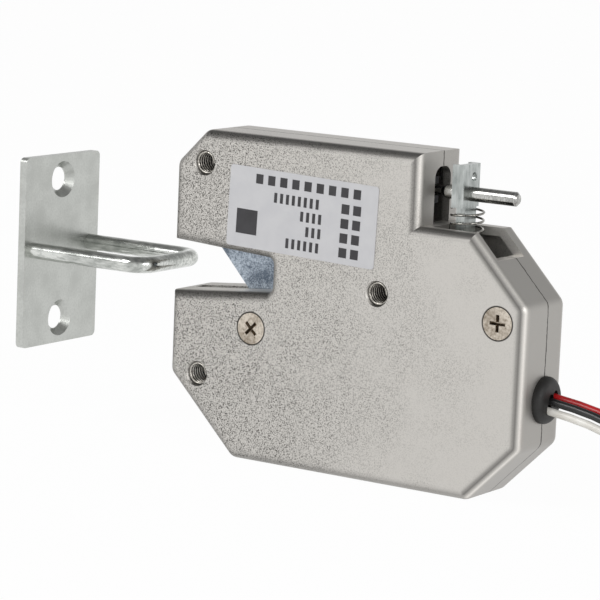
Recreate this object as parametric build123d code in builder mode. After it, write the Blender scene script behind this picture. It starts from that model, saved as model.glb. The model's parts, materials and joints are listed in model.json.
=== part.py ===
"""Electric door strike for a locker or cabinet door: die-cast lock body, rotary latch, pawl, solenoid and strike.

Frame: +X from the strike towards the cable outlet, -Y out of the front face, +Z up, bottom of the body at Z = 0.
"""
from build123d import *
import math
import os

os.makedirs("parts", exist_ok=True)

# Body outline, seen on the front face
body_length = 73.0
body_height = 58.5
body_depth = 14.6
front_depth = 8.0
front_wall = 1.6
rear_wall = 1.4
side_wall = 1.5
edge_round = 2.0
corner_round = 2.2
chamfer_top_left = 6.2
chamfer_low_left = 14.0
chamfer_low_right = 10.0
notch_wall_x = 14.6
notch_floor_z = 46.0
notch_end_x = 25.6
slope_end_z = 34.5
half_length = body_length / 2
front_y = -6.6
rear_y = front_y + body_depth
part_y = front_y + front_depth
front_inside_y = front_y + front_wall
rear_inside_y = rear_y - rear_wall

# Mouth that takes the strike's bar
mouth_length = 21.3
mouth_entry_low_z = 28.9
mouth_entry_top_z = 38.1
mouth_end_low_z = 30.9
mouth_end_top_z = 36.9
mouth_end_x = mouth_length - half_length

# Plane of the latch, the pawl and the release
mid_y = 0.6

# Fixing threads, M4
thread_major_r = 2.0
thread_lead_r = 2.3
thread_boss_r = 3.4
thread_spots = [(-30.0, 52.6), (-30.1, 14.4), (7.2, 33.5)]

# Shell screws, M3 countersunk
screw_r = 1.5
screw_core_r = 1.25
screw_hole_r = 1.65
screw_head_r = 2.8
screw_head_gap = 0.12
screw_head_depth = 1.4
screw_tip_y = 4.5
screw_boss_r = 3.6
pivot_x = -18.7
pivot_z = 24.1
right_screw_x = 31.3
right_screw_z = 31.4

# Rotary latch on its bush
latch_thick = 2.5
latch_side_gap = 0.15
latch_turn = 42.0
bush_r = 3.0
bush_fit = 0.05
latch_front_y = mid_y - latch_thick / 2
latch_rear_y = mid_y + latch_thick / 2
latch_slot_gap = 0.3
latch_lobe_r = 17.2
latch_rim_r = 14.6
latch_slot_r = latch_lobe_r + 0.4

# Pawl and its pin
pawl_x = 2.0
pawl_z = 43.0
pawl_thick = 2.0
pawl_pin_r = 1.5
pawl_fit = 0.05
pawl_hub_r = 3.8
release_stroke = 1.8
fork_x = 10.9
fork_z = 8.7
pawl_turn = math.degrees(release_stroke / fork_x)
pawl_front_y = mid_y - pawl_thick / 2
pawl_rear_y = mid_y + pawl_thick / 2

# Release tab, pin, plunger and spring
release_x = 20.3
release_pin_z = pawl_z + fork_z
release_pin_r = 1.25
release_nose_r = 0.65
release_pin_end_x = 30.1
release_pin_shoulder_x = 16.2
release_pin_tip_x = 10.6
tab_sheet = 1.1
tab_face_x = 20.85
tab_hole_r = 0.8
tab_flange = 2.15
tab_half_width = 3.0
tab_top_z = 56.8
tab_shoulder_z = 49.4
stem_half_width = 1.9
stem_end_z = 44.6
tang_half_width = 1.5
tang_end_z = 40.6
plunger_r = 2.0
plunger_top_z = 43.6
plunger_low_z = 24.0
plunger_fit = 0.1
link_pin_r = 0.6
link_pin_z = 42.0
spring_r = 3.0
spring_wire = 0.4
slot_half_width = 2.6
slot_top_z = 55.8
slot_top_round = 2.0
well_front_y = -4.5
well_rear_y = 4.1
well_start_x = 16.4
well_sill_z = 41.6

# Solenoid
yoke_sheet = 1.3
yoke_half_width = 6.6
yoke_low_z = 13.2
yoke_top_z = 39.4
yoke_front_y = -4.0
bobbin_tube_r = 2.8
bobbin_flange_r = 4.35
bobbin_flange = 0.8
winding_r = 4.1
winding_gap = 0.1
pole_gap = 0.3

# Position switch
switch_left_x = -21.0
switch_length = 12.8
switch_low_z = 2.6
switch_height = 6.5
switch_half_depth = 2.9
lever_hinge_x = -9.2
lever_hinge_z = 10.1
lever_length = 13.3
lever_sheet = 0.3
lever_rise = 11.0
button_x = -14.4
button_r = 0.7
button_fit = 0.05

# Circuit board
board_left_x = -5.5
board_length = 15.0
board_low_z = 4.0
board_height = 14.0
board_thick = 0.8
board_face_y = 3.8
header_length = 4.0

# Cable outlet
outlet_y = part_y
outlet_z = 18.0
outlet_hole_r = 3.0
outlet_flange_r = 4.1
outlet_flange = 1.7
wire_r = 0.7
wire_fit = 0.05

# Free leads: exit places, coil and plug
header_x = 29.0
header_end_x = 33.0
header_half_width = 3.0
header_low_z = 15.3
header_top_z = 20.6
lead_pitch = 1.5
coil_x = 69.0
coil_y = 4.0
coil_turns = 2
coil_pitch = 1.6
coil_low_z = 1.2
coil_top_z = coil_low_z + coil_turns * coil_pitch
coil_core_r = 6.9
lead_out_x = 77.8
plug_x = 80.6
plug_length = 7.0
plug_height = 3.2
tie_width = 2.0
tie_sheet = 0.4
leads = {"red": (2.6, 18.95, 0), "black": (1.1, 18.45, 1), "white": (0.55, 16.9, 2)}

# Label film
label_length = 31.0
label_height = 14.4
label_film = 0.12
label_x = -8.9
label_z = 45.3
label_tilt = -1.9

# Strike: plate and bent rod
strike_face_x = -66.8
strike_sheet = 1.5
strike_width = 22.0
strike_height = 35.5
strike_z = 32.3
strike_corner = 1.0
strike_hole_r = 2.2
strike_sink_r = 3.4
strike_hole_reach = 13.1
rod_r = 1.5
rod_bend = 3.6
leg_y = 8.6
bar_x = -41.5
bar_z = 32.8

front_face = Plane.XZ.offset(-front_y)
front_inside = Plane.XZ.offset(-front_inside_y)
part_plane = Plane.XZ.offset(-part_y)
rear_inside = Plane.XZ.offset(-rear_inside_y)
rear_face = Plane.XZ.offset(-rear_y)

# Outline of both shells: chamfered block with the mouth on the left and the notch at the top right
with BuildSketch() as outline:
    with BuildLine():
        Polyline(
            (-half_length, body_height - chamfer_top_left),
            (chamfer_top_left - half_length, body_height),
            (notch_wall_x, body_height),
            (notch_wall_x, notch_floor_z),
            (notch_end_x, notch_floor_z),
            (half_length, slope_end_z),
            (half_length, chamfer_low_right),
            (half_length - chamfer_low_right, 0),
            (chamfer_low_left - half_length, 0),
            (-half_length, chamfer_low_left),
            (-half_length, mouth_entry_low_z),
            (mouth_end_x, mouth_end_low_z),
            (mouth_end_x, mouth_end_top_z),
            (-half_length, mouth_entry_top_z),
            close=True,
        )
    make_face()
with BuildSketch() as cavity:
    add(outline.sketch)
    offset(amount=-side_wall, kind=Kind.INTERSECTION)
with BuildSketch() as rounded:
    add(outline.sketch)
    obtuse_corners = [
        (-half_length, body_height - chamfer_top_left),
        (chamfer_top_left - half_length, body_height),
        (half_length, slope_end_z),
        (half_length, chamfer_low_right),
        (half_length - chamfer_low_right, 0),
        (chamfer_low_left - half_length, 0),
        (-half_length, chamfer_low_left),
    ]
    fillet([rounded.vertices().sort_by_distance(spot)[0] for spot in obtuse_corners], corner_round)
    fillet(rounded.vertices().filter_by(lambda v: abs(v.X - mouth_end_x) < 0.1), 1.2)

# Slot in the notch's side wall, half in each shell, and the well below the release tab
with BuildSketch() as slot:
    with Locations((part_y, (slot_top_z + notch_floor_z) / 2)):
        Rectangle(2 * slot_half_width, slot_top_z - notch_floor_z)
    fillet(slot.vertices().sort_by(Axis.Y)[2:], slot_top_round)
well_size = (half_length - well_start_x, well_rear_y - well_front_y, notch_floor_z + 1 - well_sill_z)
well_centre = ((well_start_x + half_length) / 2, (well_front_y + well_rear_y) / 2, well_sill_z + well_size[2] / 2)

# Front shell: deep half with the face, the threads and the screw seats
with BuildPart() as front_shell:
    with BuildSketch(part_plane):
        add(rounded.sketch)
    extrude(amount=front_depth)
    fillet(front_shell.faces().sort_by(Axis.Y)[0].outer_wire().edges(), edge_round)
    with BuildSketch(part_plane):
        add(cavity.sketch)
    extrude(amount=part_y - front_inside_y, mode=Mode.SUBTRACT)
    with BuildSketch(front_inside):
        with Locations(*thread_spots):
            Circle(thread_boss_r)
        with Locations((right_screw_x, right_screw_z)):
            Circle(screw_boss_r)
    extrude(amount=front_inside_y - part_y)
    with BuildSketch(front_inside):
        with Locations((pivot_x, pivot_z)):
            Circle(screw_boss_r)
    extrude(amount=front_inside_y - latch_front_y + latch_side_gap)
    with BuildSketch(front_inside):
        with Locations((pawl_x, pawl_z)):
            Circle(pawl_hub_r - 0.8)
    extrude(amount=front_inside_y - pawl_front_y + latch_side_gap)
    with BuildSketch(front_face):
        with Locations(*thread_spots):
            Circle(thread_major_r)
    extrude(amount=-front_depth, mode=Mode.SUBTRACT)
    with BuildSketch(front_face):
        with Locations(*thread_spots):
            Circle(thread_lead_r)
    extrude(amount=-0.5, taper=31, mode=Mode.SUBTRACT)
    with BuildSketch(front_face):
        with Locations((pivot_x, pivot_z), (right_screw_x, right_screw_z)):
            Circle(screw_hole_r)
    extrude(amount=-front_depth, mode=Mode.SUBTRACT)
    with BuildSketch(front_face):
        with Locations((pivot_x, pivot_z), (right_screw_x, right_screw_z)):
            Circle(screw_head_r + screw_head_gap)
    extrude(amount=-screw_head_depth, taper=40, mode=Mode.SUBTRACT)
    with BuildSketch(front_inside):
        with Locations((pawl_x, pawl_z)):
            Circle(pawl_pin_r)
    extrude(amount=front_inside_y - part_y, mode=Mode.SUBTRACT)
    # Slot in the mouth's walls that the latch sweeps through
    with BuildSketch(part_plane):
        with Locations((pivot_x, pivot_z)):
            Circle(latch_slot_r)
        with Locations((pivot_x, mouth_end_top_z - 2.0)):
            Rectangle(2 * (half_length - side_wall + pivot_x), 16.0, mode=Mode.INTERSECT)
    extrude(amount=part_y - latch_front_y + latch_slot_gap, mode=Mode.SUBTRACT)
    # Slot in the notch's side wall for the release pin, and the well below the release tab
    with BuildSketch(Plane.YZ.offset(notch_wall_x - 2 * side_wall)):
        add(slot.sketch)
    extrude(amount=3 * side_wall, mode=Mode.SUBTRACT)
    with Locations(well_centre):
        Box(*well_size, mode=Mode.SUBTRACT)
    # Half hole for the cable outlet
    with BuildSketch(Plane.YZ.offset(half_length)):
        with Locations((outlet_y, outlet_z)):
            Circle(outlet_hole_r)
    extrude(amount=-2 * side_wall, mode=Mode.SUBTRACT)
front_shell.part.label = "front_shell"
export_step(front_shell.part, "parts/front_shell.step")

# Rear shell: shallow half with the screw bosses
with BuildPart() as rear_shell:
    with BuildSketch(rear_face):
        add(rounded.sketch)
    extrude(amount=rear_y - part_y)
    fillet(rear_shell.faces().sort_by(Axis.Y)[-1].outer_wire().edges(), edge_round)
    with BuildSketch(rear_inside):
        add(cavity.sketch)
    extrude(amount=rear_inside_y - part_y, mode=Mode.SUBTRACT)
    with BuildSketch(part_plane):
        with Locations(*thread_spots):
            Circle(thread_boss_r)
        with Locations((right_screw_x, right_screw_z)):
            Circle(screw_boss_r)
    extrude(amount=part_y - rear_inside_y)
    with BuildSketch(Plane.XZ.offset(-latch_rear_y - latch_side_gap)):
        with Locations((pivot_x, pivot_z)):
            Circle(screw_boss_r)
    extrude(amount=latch_rear_y + latch_side_gap - rear_inside_y)
    with BuildSketch(Plane.XZ.offset(-pawl_rear_y - latch_side_gap)):
        with Locations((pawl_x, pawl_z)):
            Circle(pawl_hub_r - 0.8)
    extrude(amount=pawl_rear_y + latch_side_gap - rear_inside_y)
    with BuildSketch(part_plane):
        with Locations((pivot_x, pivot_z), (right_screw_x, right_screw_z)):
            Circle(screw_core_r)
    extrude(amount=part_y - screw_tip_y - 0.3, mode=Mode.SUBTRACT)
    with BuildSketch(part_plane):
        with Locations((pawl_x, pawl_z)):
            Circle(pawl_pin_r)
    extrude(amount=part_y - rear_inside_y, mode=Mode.SUBTRACT)
    with BuildSketch(Plane.XZ.offset(-board_face_y - board_thick)):
        with Locations(
            (board_left_x + 1.5, board_low_z + board_height / 2),
            (board_left_x + board_length - 1.5, board_low_z + board_height / 2),
        ):
            Circle(1.2)
    extrude(amount=board_face_y + board_thick - rear_inside_y)
    with BuildSketch(part_plane):
        with Locations((pivot_x, pivot_z)):
            Circle(latch_slot_r)
        with Locations((pivot_x, mouth_end_top_z - 2.0)):
            Rectangle(2 * (half_length - side_wall + pivot_x), 16.0, mode=Mode.INTERSECT)
    extrude(amount=part_y - latch_rear_y - latch_slot_gap, mode=Mode.SUBTRACT)
    with BuildSketch(Plane.YZ.offset(notch_wall_x - 2 * side_wall)):
        add(slot.sketch)
    extrude(amount=3 * side_wall, mode=Mode.SUBTRACT)
    with Locations(well_centre):
        Box(*well_size, mode=Mode.SUBTRACT)
    with BuildSketch(Plane.YZ.offset(half_length)):
        with Locations((outlet_y, outlet_z)):
            Circle(outlet_hole_r)
    extrude(amount=-2 * side_wall, mode=Mode.SUBTRACT)
rear_shell.part.label = "rear_shell"
export_step(rear_shell.part, "parts/rear_shell.step")

# Two countersunk screws with a cross recess, driven from the front into the rear shell
with BuildPart() as shell_screws:
    with BuildSketch(front_face):
        with Locations((pivot_x, pivot_z), (right_screw_x, right_screw_z)):
            Circle(screw_r)
    extrude(amount=front_y - screw_tip_y)
    with BuildSketch(front_face):
        with Locations((pivot_x, pivot_z), (right_screw_x, right_screw_z)):
            Circle(screw_head_r)
    extrude(amount=-screw_head_depth, taper=40)
    with BuildSketch(front_face):
        with Locations((pivot_x, pivot_z)):
            Rectangle(3.0, 0.6, rotation=45)
            Rectangle(0.6, 3.0, rotation=45)
        with Locations((right_screw_x, right_screw_z)):
            Rectangle(3.0, 0.6)
            Rectangle(0.6, 3.0)
    extrude(amount=-1.1, taper=12, mode=Mode.SUBTRACT)
shell_screws.part.label = "shell_screws"
export_step(shell_screws.part, "parts/shell_screws.step")

# Bush on the left screw that the latch turns on
with BuildPart() as latch_bush:
    with BuildSketch(Plane.XZ.offset(-latch_rear_y - latch_side_gap)):
        with Locations((pivot_x, pivot_z)):
            Circle(bush_r)
            Circle(screw_hole_r, mode=Mode.SUBTRACT)
    extrude(amount=latch_thick + 2 * latch_side_gap)
latch_bush.part.label = "latch_bush"
export_step(latch_bush.part, "parts/latch_bush.step")

# Rotary latch, open: far jaw with its slanted edge and lobe, throat, near jaw, tail for the switch
lobe_start = math.radians(130.9)
lobe_end = math.radians(113.0)
rim_start = math.radians(111.0)
rim_end = math.radians(70.0)
with BuildPart() as latch_hook:
    with BuildSketch(Plane(origin=(pivot_x, latch_rear_y, pivot_z), x_dir=(1, 0, 0), z_dir=(0, -1, 0))):
        with BuildLine():
            lobe = CenterArc((0, 0), latch_lobe_r, math.degrees(lobe_end), math.degrees(lobe_start - lobe_end))
            rim = CenterArc((0, 0), latch_rim_r, math.degrees(rim_end), math.degrees(rim_start - rim_end))
            Line(lobe @ 0, rim @ 1)
            Polyline(
                rim @ 0,
                (7.0, 9.0),
                (7.2, -2.0),
                (7.6, -9.2),
                (6.4, -11.0),
                (4.8, -10.6),
                (2.0, -5.4),
                (-4.0, -4.6),
                (-9.5, -2.4),
                (-12.6, -0.6),
                (-12.2, 1.6),
                (-8.3, 2.4),
                (-5.6, 3.7),
                (-5.0, 4.4),
                (-4.75, 5.95),
                lobe @ 1,
            )
        make_face()
        Circle(bush_r + bush_fit, mode=Mode.SUBTRACT)
    extrude(amount=latch_thick)
    fillet(latch_hook.edges().filter_by(Axis.Y).group_by(SortBy.LENGTH)[-1].sort_by(Axis.X)[0], 0.4)
latch_hook.part.label = "latch_hook"
export_step(latch_hook.part, "parts/latch_hook.step")

# Torsion spring round the front boss that opens the latch, as one closed sleeve
with BuildPart() as latch_spring:
    with BuildSketch(front_inside):
        with Locations((pivot_x, pivot_z)):
            Circle(screw_boss_r + 0.9)
            Circle(screw_boss_r + 0.2, mode=Mode.SUBTRACT)
    extrude(amount=front_inside_y - latch_front_y + latch_side_gap)
latch_spring.part.label = "latch_spring"
export_step(latch_spring.part, "parts/latch_spring.step")

# Pawl at rest, nose lifted: left arm with the nose, right arm with the fork
pawl_angle = math.radians(pawl_turn)
nose_plane = Plane(
    origin=(pawl_x, pawl_rear_y, pawl_z),
    x_dir=(math.cos(pawl_angle), 0, -math.sin(pawl_angle)),
    z_dir=(0, -1, 0),
)
with BuildPart() as pawl_lever:
    with BuildSketch(nose_plane):
        with BuildLine():
            Polyline(
                (0, 3.4),
                (-20.0, 3.0),
                (-23.2, 1.4),
                (-23.2, -3.5),
                (-20.9, -3.7),
                (-20.95, -0.9),
                (-6.0, -0.9),
                (0, -3.4),
                close=True,
            )
        make_face()
    extrude(amount=pawl_thick)
    with BuildSketch(Plane(origin=(pawl_x, pawl_rear_y, pawl_z), x_dir=(1, 0, 0), z_dir=(0, -1, 0))):
        Circle(pawl_hub_r)
        with BuildLine():
            Polyline(
                (-2.2, 2.4),
                (6.4, fork_z + 2.3),
                (11.7, fork_z + 2.3),
                (11.7, fork_z + 1.05),
                (7.9, fork_z + 1.05),
                (7.9, fork_z - 1.05),
                (11.7, fork_z - 1.05),
                (11.7, fork_z - 2.3),
                (8.0, fork_z - 2.3),
                (2.4, -1.8),
                close=True,
            )
        make_face()
        Circle(pawl_pin_r + pawl_fit, mode=Mode.SUBTRACT)
    extrude(amount=pawl_thick)
    with BuildSketch(Plane(origin=(pawl_x, pawl_rear_y, pawl_z), x_dir=(1, 0, 0), z_dir=(0, -1, 0))):
        Circle(pawl_pin_r + pawl_fit)
    extrude(amount=pawl_thick, mode=Mode.SUBTRACT)
pawl_lever.part.label = "pawl_lever"
export_step(pawl_lever.part, "parts/pawl_lever.step")

with BuildPart() as pawl_pin:
    with BuildSketch(front_inside):
        with Locations((pawl_x, pawl_z)):
            Circle(pawl_pin_r)
    extrude(amount=front_inside_y - rear_inside_y)
pawl_pin.part.label = "pawl_pin"
export_step(pawl_pin.part, "parts/pawl_pin.step")

# Release tab: sheet bent to a channel, with a narrow stem and a flat tang
with BuildPart() as release_tab:
    with Locations((tab_face_x, mid_y, tab_shoulder_z)):
        Box(tab_sheet, 2 * tab_half_width, tab_top_z - tab_shoulder_z, align=(Align.MAX, Align.CENTER, Align.MIN))
        Box(tab_sheet, 2 * stem_half_width, tab_shoulder_z - stem_end_z, align=(Align.MAX, Align.CENTER, Align.MAX))
    with Locations((tab_face_x, mid_y, tang_end_z)):
        Box(tab_sheet, 2 * tang_half_width, stem_end_z - tang_end_z, align=(Align.MAX, Align.CENTER, Align.MIN))
    with Locations((tab_face_x - tab_sheet, mid_y - tab_half_width, tab_shoulder_z)):
        Box(tab_flange - tab_sheet, 0.9, tab_top_z - tab_shoulder_z, align=(Align.MAX, Align.MIN, Align.MIN))
    with Locations((tab_face_x - tab_sheet, mid_y + tab_half_width, tab_shoulder_z)):
        Box(tab_flange - tab_sheet, 0.9, tab_top_z - tab_shoulder_z, align=(Align.MAX, Align.MAX, Align.MIN))
    with Locations((tab_face_x - tab_sheet, mid_y - stem_half_width, tab_shoulder_z)):
        Box(0.6, 0.9, tab_shoulder_z - stem_end_z, align=(Align.MAX, Align.MIN, Align.MAX))
    with Locations((tab_face_x - tab_sheet, mid_y + stem_half_width, tab_shoulder_z)):
        Box(0.6, 0.9, tab_shoulder_z - stem_end_z, align=(Align.MAX, Align.MAX, Align.MAX))
    fillet(release_tab.edges().filter_by(Axis.Z).group_by(Axis.X)[-1].group_by(SortBy.LENGTH)[-1], 0.5)
    with BuildSketch(Plane.YZ.offset(tab_face_x)):
        with Locations((mid_y, release_pin_z)):
            Circle(release_pin_r)
        with Locations((mid_y + 0.7, tab_top_z - 2.2)):
            Circle(tab_hole_r)
    extrude(amount=-tab_sheet, mode=Mode.SUBTRACT)
    with BuildSketch(Plane.YZ.offset(tab_face_x)):
        with Locations((mid_y, link_pin_z)):
            Circle(link_pin_r)
    extrude(amount=-tab_sheet, mode=Mode.SUBTRACT)
release_tab.part.label = "release_tab"
export_step(release_tab.part, "parts/release_tab.step")

# Release pin: round rod with a chamfered outer end and a slim nose for the pawl's fork
with BuildPart() as release_pin:
    with BuildSketch(Plane.XZ.offset(-mid_y)):
        with BuildLine():
            Polyline(
                (release_pin_tip_x, release_pin_z),
                (release_pin_tip_x, release_pin_z + release_nose_r),
                (release_pin_shoulder_x - 1.0, release_pin_z + release_nose_r),
                (release_pin_shoulder_x, release_pin_z + release_pin_r),
                (release_pin_end_x - 0.4, release_pin_z + release_pin_r),
                (release_pin_end_x, release_pin_z + release_pin_r - 0.4),
                (release_pin_end_x, release_pin_z),
                close=True,
            )
        make_face()
    revolve(axis=Axis((0, mid_y, release_pin_z), (1, 0, 0)))
release_pin.part.label = "release_pin"
export_step(release_pin.part, "parts/release_pin.step")

# Plunger of the solenoid, slotted for the tang, and its link pin
with BuildPart() as plunger:
    with BuildSketch(Plane.XY.offset(plunger_low_z)):
        with Locations((release_x, mid_y)):
            Circle(plunger_r)
    extrude(amount=plunger_top_z - plunger_low_z)
    chamfer(plunger.edges().filter_by(GeomType.CIRCLE), 0.3)
    with Locations((tab_face_x - tab_sheet / 2, mid_y, tang_end_z - 0.2)):
        Box(tab_sheet + 0.1, 3 * plunger_r, 10, align=(Align.CENTER, Align.CENTER, Align.MIN), mode=Mode.SUBTRACT)
    with BuildSketch(Plane.YZ.offset(release_x - 2 * plunger_r)):
        with Locations((mid_y, link_pin_z)):
            Circle(link_pin_r)
    extrude(amount=4 * plunger_r, mode=Mode.SUBTRACT)
plunger.part.label = "plunger"
export_step(plunger.part, "parts/plunger.step")

with BuildPart() as link_pin:
    with BuildSketch(Plane.YZ.offset(release_x - plunger_r + 0.2)):
        with Locations((mid_y, link_pin_z)):
            Circle(link_pin_r)
    extrude(amount=2 * plunger_r - 0.4)
link_pin.part.label = "link_pin"
export_step(link_pin.part, "parts/link_pin.step")

# Compression spring between the yoke and the tab's shoulder, as one closed sleeve
with BuildPart() as release_spring:
    with BuildSketch(Plane.XY.offset(yoke_top_z)):
        with Locations((release_x, mid_y)):
            Circle(spring_r)
            Circle(spring_r - spring_wire, mode=Mode.SUBTRACT)
    extrude(amount=tab_shoulder_z - yoke_top_z)
release_spring.part.label = "release_spring"
export_step(release_spring.part, "parts/release_spring.step")

# Solenoid: yoke, bobbin, winding and fixed pole
with BuildPart() as solenoid_yoke:
    with BuildSketch(rear_inside):
        with Locations((release_x, (yoke_low_z + yoke_top_z) / 2)):
            Rectangle(2 * yoke_half_width, yoke_top_z - yoke_low_z)
            Rectangle(2 * (yoke_half_width - yoke_sheet), yoke_top_z - yoke_low_z - 2 * yoke_sheet, mode=Mode.SUBTRACT)
    extrude(amount=rear_inside_y - yoke_front_y)
    with BuildSketch(Plane.XY.offset(yoke_top_z)):
        with Locations((release_x, mid_y)):
            Circle(plunger_r + plunger_fit)
    extrude(amount=-yoke_sheet, mode=Mode.SUBTRACT)
    with BuildSketch(Plane.XY.offset(yoke_low_z)):
        with Locations((release_x, mid_y)):
            Circle(plunger_r)
    extrude(amount=yoke_sheet, mode=Mode.SUBTRACT)
solenoid_yoke.part.label = "solenoid_yoke"
export_step(solenoid_yoke.part, "parts/solenoid_yoke.step")

bobbin_low_z = yoke_low_z + yoke_sheet
bobbin_top_z = yoke_top_z - yoke_sheet
with BuildPart() as coil_bobbin:
    with BuildSketch(Plane.XY.offset(bobbin_low_z)):
        with Locations((release_x, mid_y)):
            Circle(bobbin_flange_r)
    extrude(amount=bobbin_flange)
    with BuildSketch(Plane.XY.offset(bobbin_low_z)):
        with Locations((release_x, mid_y)):
            Circle(bobbin_tube_r)
    extrude(amount=bobbin_top_z - bobbin_low_z)
    with BuildSketch(Plane.XY.offset(bobbin_top_z)):
        with Locations((release_x, mid_y)):
            Circle(bobbin_flange_r)
    extrude(amount=-bobbin_flange)
    with BuildSketch(Plane.XY.offset(bobbin_low_z)):
        with Locations((release_x, mid_y)):
            Circle(plunger_r + plunger_fit)
    extrude(amount=bobbin_top_z - bobbin_low_z, mode=Mode.SUBTRACT)
coil_bobbin.part.label = "coil_bobbin"
export_step(coil_bobbin.part, "parts/coil_bobbin.step")

with BuildPart() as coil_winding:
    with BuildSketch(Plane.XY.offset(bobbin_low_z + bobbin_flange)):
        with Locations((release_x, mid_y)):
            Circle(winding_r)
            Circle(bobbin_tube_r, mode=Mode.SUBTRACT)
    extrude(amount=bobbin_top_z - bobbin_low_z - 2 * bobbin_flange)
coil_winding.part.label = "coil_winding"
export_step(coil_winding.part, "parts/coil_winding.step")

with BuildPart() as pole_piece:
    with BuildSketch(Plane.XY.offset(yoke_low_z)):
        with Locations((release_x, mid_y)):
            Circle(plunger_r)
    extrude(amount=plunger_low_z - pole_gap - yoke_low_z)
pole_piece.part.label = "pole_piece"
export_step(pole_piece.part, "parts/pole_piece.step")

# Position switch under the latch's tail: case, terminals, lever and button
switch_top_z = switch_low_z + switch_height
button_drop = 0.5
with BuildPart() as switch_case:
    with Locations((switch_left_x, rear_inside_y, switch_low_z)):
        Box(switch_length, rear_inside_y - mid_y + switch_half_depth, switch_height, align=(Align.MIN, Align.MAX, Align.MIN))
    with Locations((lever_hinge_x, mid_y - 1.6, switch_top_z)):
        Box(1.4, 0.5, 1.7, align=(Align.CENTER, Align.CENTER, Align.MIN))
    with Locations((lever_hinge_x, mid_y + 1.6, switch_top_z)):
        Box(1.4, 0.5, 1.7, align=(Align.CENTER, Align.CENTER, Align.MIN))
    with BuildSketch(Plane.XY.offset(switch_top_z)):
        with Locations((button_x, mid_y)):
            Circle(button_r + button_fit)
    extrude(amount=-2.5, mode=Mode.SUBTRACT)
switch_case.part.label = "switch_case"
export_step(switch_case.part, "parts/switch_case.step")

with BuildPart() as switch_terminals:
    with Locations((switch_left_x + switch_length / 2, mid_y + 1.0, switch_low_z)):
        with GridLocations(4.4, 0, 3, 1):
            Box(1.2, 0.5, switch_low_z - side_wall, align=(Align.CENTER, Align.CENTER, Align.MAX))
switch_terminals.part.label = "switch_terminals"
export_step(switch_terminals.part, "parts/switch_terminals.step")

lever_plane = Plane(
    origin=(lever_hinge_x, mid_y + 1.25, lever_hinge_z),
    x_dir=(-math.cos(math.radians(lever_rise)), 0, math.sin(math.radians(lever_rise))),
    z_dir=(0, -1, 0),
)
with BuildPart() as switch_lever:
    with BuildSketch(lever_plane):
        with Locations((lever_length / 2, 0)):
            Rectangle(lever_length, lever_sheet)
        with Locations((0, 0)):
            Circle(0.5)
    extrude(amount=2.5)
switch_lever.part.label = "switch_lever"
export_step(switch_lever.part, "parts/switch_lever.step")

button_top_z = lever_hinge_z + (lever_hinge_x - button_x) * math.tan(math.radians(lever_rise)) - lever_sheet - 0.15
with BuildPart() as switch_button:
    with BuildSketch(Plane.XY.offset(switch_top_z - 1.6)):
        with Locations((button_x, mid_y)):
            Circle(button_r)
    extrude(amount=button_top_z - switch_top_z + 1.6)
switch_button.part.label = "switch_button"
export_step(switch_button.part, "parts/switch_button.step")

# Circuit board on two posts of the rear shell, with a suppressor diode and a chip
with BuildPart() as circuit_board:
    with Locations((board_left_x, board_face_y, board_low_z)):
        Box(board_length, board_thick, board_height, align=(Align.MIN, Align.MIN, Align.MIN))
circuit_board.part.label = "circuit_board"
export_step(circuit_board.part, "parts/circuit_board.step")

with BuildPart() as diode:
    with BuildSketch(Plane.YZ.offset(board_left_x + 3.0)):
        with Locations((board_face_y - 1.0, board_low_z + 3.0)):
            Circle(1.0)
    extrude(amount=4.0)
diode.part.label = "diode"
export_step(diode.part, "parts/diode.step")

with BuildPart() as chip:
    with Locations((board_left_x + 4.0, board_face_y, board_low_z + 6.5)):
        Box(5.0, 1.4, 4.0, align=(Align.MIN, Align.MAX, Align.MIN))
chip.part.label = "chip"
export_step(chip.part, "parts/chip.step")

with BuildPart() as lead_header:
    with Locations((header_x, rear_inside_y, header_low_z)):
        Box(
            header_end_x - header_x,
            rear_inside_y - outlet_y + header_half_width,
            header_top_z - header_low_z,
            align=(Align.MIN, Align.MAX, Align.MIN),
        )
lead_header.part.label = "lead_header"
export_step(lead_header.part, "parts/lead_header.step")

# Rubber grommet: domed outer flange, neck in the wall, inner flange, and a hole for each lead
with BuildPart() as grommet:
    with BuildSketch(Plane.YZ.offset(half_length)):
        with Locations((outlet_y, outlet_z)):
            Circle(outlet_flange_r)
    extrude(amount=outlet_flange)
    fillet(grommet.faces().sort_by(Axis.X)[-1].edges(), 1.3)
    with BuildSketch(Plane.YZ.offset(half_length)):
        with Locations((outlet_y, outlet_z)):
            Circle(outlet_hole_r)
    extrude(amount=-side_wall)
    with BuildSketch(Plane.YZ.offset(half_length - side_wall)):
        with Locations((outlet_y, outlet_z)):
            Circle(outlet_hole_r + 0.5)
    extrude(amount=-0.8)
    with BuildSketch(Plane.YZ.offset(half_length - 4 * side_wall)):
        for lead_y, lead_z, lead_row in leads.values():
            with Locations((lead_y, lead_z)):
                Circle(wire_r + wire_fit)
    extrude(amount=6 * side_wall, mode=Mode.SUBTRACT)
grommet.part.label = "grommet"
export_step(grommet.part, "parts/grommet.step")


def lead_route(lead_y, lead_z, ring_r):
    """Hand-chosen points of one lead from the header to the top of its ring on the coil."""
    end_y = coil_y - ring_r
    rise = lead_z - leads["white"][1]
    return [
        (header_end_x, lead_y, lead_z),
        (49.5 + 0.4 * rise, lead_y, lead_z - 1.4),
        (55.6 + 0.5 * rise, 0.4 * lead_y + 0.6 * end_y, 10.6 + 0.7 * rise),
        (60.2, end_y, coil_top_z),
        (coil_x, end_y, coil_top_z),
    ]


def bend_radius(before, corner, after):
    """Radius of the arc that takes 0.45 of the shorter run at a corner."""
    run_in = Vector(*corner) - Vector(*before)
    run_out = Vector(*after) - Vector(*corner)
    half_turn = math.radians(run_in.get_angle(run_out)) / 2
    return 0.45 * min(run_in.length, run_out.length) / math.tan(half_turn)


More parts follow.
